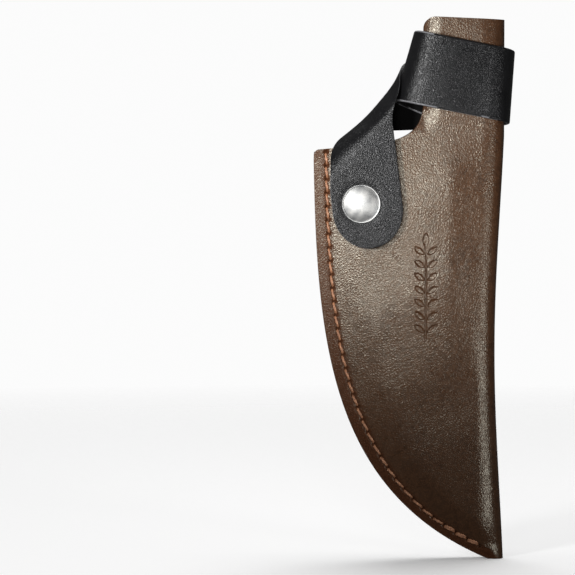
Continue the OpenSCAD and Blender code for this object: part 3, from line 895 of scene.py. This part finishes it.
# %% Sew both sides
def sew(name, side, node):
    copies = []
    places = [(k + 0.5) * PITCH for k in range(stitch_count)]
    extra = [((stitch_count - k - 0.5) * PITCH, 0.55) for k in range(3)]
    for run, shift in [(place_on, 0.0) for place_on in places] + extra:
        here, ahead = on_line(run), on_line(run + 0.5)
        along = (ahead - on_line(run - 0.5)) / np.linalg.norm(ahead - on_line(run - 0.5))
        inward = np.array([-along[1], along[0]])
        here = here + shift * inward
        copy = stitch.copy()
        copy.data = stitch.data.copy()
        bpy.context.scene.collection.objects.link(copy)
        top = half_at(here[0], here[1]) - 0.2
        basis = Matrix((
            (along[0], inward[0], 0, here[0]),
            (0, 0, side, side * top),
            (along[1], inward[1], 0, here[1]),
            (0, 0, 0, 1)))
        copy.data.transform(basis)
        copies.append(copy)
    pick(copies[0])
    for copy in copies:
        copy.select_set(True)
    bpy.ops.object.join()
    seam = bpy.context.object
    seam.name = seam.data.name = name
    edit_faces(seam, np.ones(len(seam.data.polygons), bool))
    bpy.ops.mesh.normals_make_consistent(inside=False)
    leave_edit()
    to_row(seam)
    finish_piece(seam, "sheath", [node])


sew("seam_front", -1, "edge_thread_front")
sew("seam_back", 1, "edge_thread_back")
bpy.data.objects.remove(stitch)

# %% [markdown]
# ## Belt loop
# A strip of black leather stands off the back panel between two riveted feet. It is
# cut flat, creased 2.5 mm from its long edges and bent up at each end of the slot.

# %% Belt loop
LOOP_W, LOOP_T, LOOP_LIFT, SLOT_H, LOOP_RISE = 28.0, 2.0, 6.0, 44.0, 9.0
loop_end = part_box("belt_loop")[1].z / MM


def loop_lift(z):
    return LOOP_LIFT * smooth((SLOT_H / 2 + LOOP_RISE - 4 - np.abs(z)) / LOOP_RISE)


belt_loop = flat_grid("belt_loop_strip", 34, 110)
w, along, _ = get_points(belt_loop).T
z = along * loop_end
crease = 0.22 * np.exp(-(((np.abs(w) * LOOP_W / 2 - (LOOP_W / 2 - 2.5)) / 0.45) ** 2))
set_points(belt_loop, np.c_[w * LOOP_W / 2, POUCH_HALF + LOOP_T + loop_lift(z) - crease, z])
edit_faces(belt_loop, np.ones(len(belt_loop.data.polygons), bool))
bpy.ops.mesh.flip_normals()
leave_edit()
belt_loop.data.materials.append(strap_finish)
belt_loop.data.materials.append(raw_black_edge)
modify(belt_loop, "SOLIDIFY", thickness=LOOP_T - 0.05, offset=-1, material_offset_rim=1)
modify(belt_loop, "BEVEL", width=0.4, segments=2, limit_method="ANGLE", angle_limit=np.radians(55))
to_row(belt_loop)
finish_piece(belt_loop, "sheath", ["belt_loop"])

# %% [markdown]
# ## Floor
# A white studio: a pale floor that the tip touches and that fades out into a white
# backdrop. The backdrop is white only to the camera. To the leather the room is dim,
# as it is behind black flags, so the brown stays deep. For the same reason the floor
# throws no light back.

# %% Floor and backdrop
SURROUND, BACKDROP = 0.08, 0.97
bpy.ops.object.select_all(action="DESELECT")
bpy.ops.mesh.primitive_plane_add(size=4, location=(0, 0, hide_low.z))
floor = bpy.context.object
floor.name = "floor"
floor_finish, tree, shader, place = new_finish("white_studio_floor")
shader.inputs["Base Color"].default_value = linear("#fafafa")
shader.inputs["Roughness"].default_value = 0.6
shader.inputs["Emission Color"].default_value = (1, 1, 1, 1)
shader.inputs["Emission Strength"].default_value = 0.2
distance = add(tree, "ShaderNodeVectorMath", {0: place}, operation="LENGTH")
fade = add(tree, "ShaderNodeMapRange",
           {"Value": distance.outputs["Value"], "From Min": 0.2, "From Max": 0.9,
            "To Min": 1.0, "To Max": 0.0})
tree.links.new(fade.outputs["Result"], shader.inputs["Alpha"])
floor.data.materials.append(floor_finish)
floor.visible_diffuse = False
floor.visible_glossy = False

world = bpy.data.worlds.new("studio") if bpy.context.scene.world is None else bpy.context.scene.world
bpy.context.scene.world = world
world.use_nodes = True
tree = world.node_tree
seen = add(tree, "ShaderNodeLightPath").outputs["Is Camera Ray"]
strength = add(tree, "ShaderNodeMapRange", {"Value": seen, "To Min": SURROUND, "To Max": BACKDROP})
tree.links.new(strength.outputs["Result"], tree.nodes["Background"].inputs["Strength"])
tree.nodes["Background"].inputs["Color"].default_value = (1, 1, 1, 1)
print("the backdrop is", BACKDROP, "and the room is", SURROUND)

# %% [markdown]
# ## Lamps
# Two small spotlights do most of the work. One stands close to the lens and gives the
# upper hide its sheen, which dies away towards the tip, and the other is aimed at the
# strap from the left and draws the streak down its front. A key light comes from the
# upper left, a strip from the lower right lights the spine, and a large box overhead
# lights the floor and gives the tip its soft shadow.

# %% Lamps
def set_lamp(name, data, place_m, aim_m):
    lamp = bpy.data.objects.new(name, data)
    lamp.location = place_m
    lamp.visible_camera = False
    lamp.rotation_euler = (Vector(aim_m) - Vector(place_m)).to_track_quat("-Z", "Y").to_euler()
    bpy.context.scene.collection.objects.link(lamp)


def softbox(name, place_m, aim_m, size, watts):
    data = bpy.data.lights.new(name, "AREA")
    data.shape = "RECTANGLE"
    data.size, data.size_y = size
    data.energy = watts
    set_lamp(name, data, place_m, aim_m)


def spotlight(name, place_m, aim_m, radius, watts, cone):
    data = bpy.data.lights.new(name, "SPOT")
    data.shadow_soft_size = radius
    data.spot_size = np.radians(cone)
    data.spot_blend = 1.0
    data.energy = watts
    set_lamp(name, data, place_m, aim_m)


spotlight("sheen", (-0.050, -0.31, 0.025), (-0.025, 0, 0.025), 0.034, 2.1, 50)
spotlight("strap_streak", (-0.30, -0.58, 0.10), (-0.005, 0, 0.055), 0.036, 19, 22)
softbox("key", (-0.60, -0.85, 0.42), (-0.01, 0, 0.02), (0.14, 0.18), 3.0)
softbox("right_strip", (0.26, -0.34, -0.13), (0.02, 0, -0.09), (0.08, 0.22), 1.0)
softbox("overhead", (0.0, 0.30, 1.0), (0, 0.05, -0.12), (0.8, 0.8), 10)
bpy.context.scene.view_settings.view_transform = "Standard"
print("lamps:", [lamp.name for lamp in bpy.data.lights])
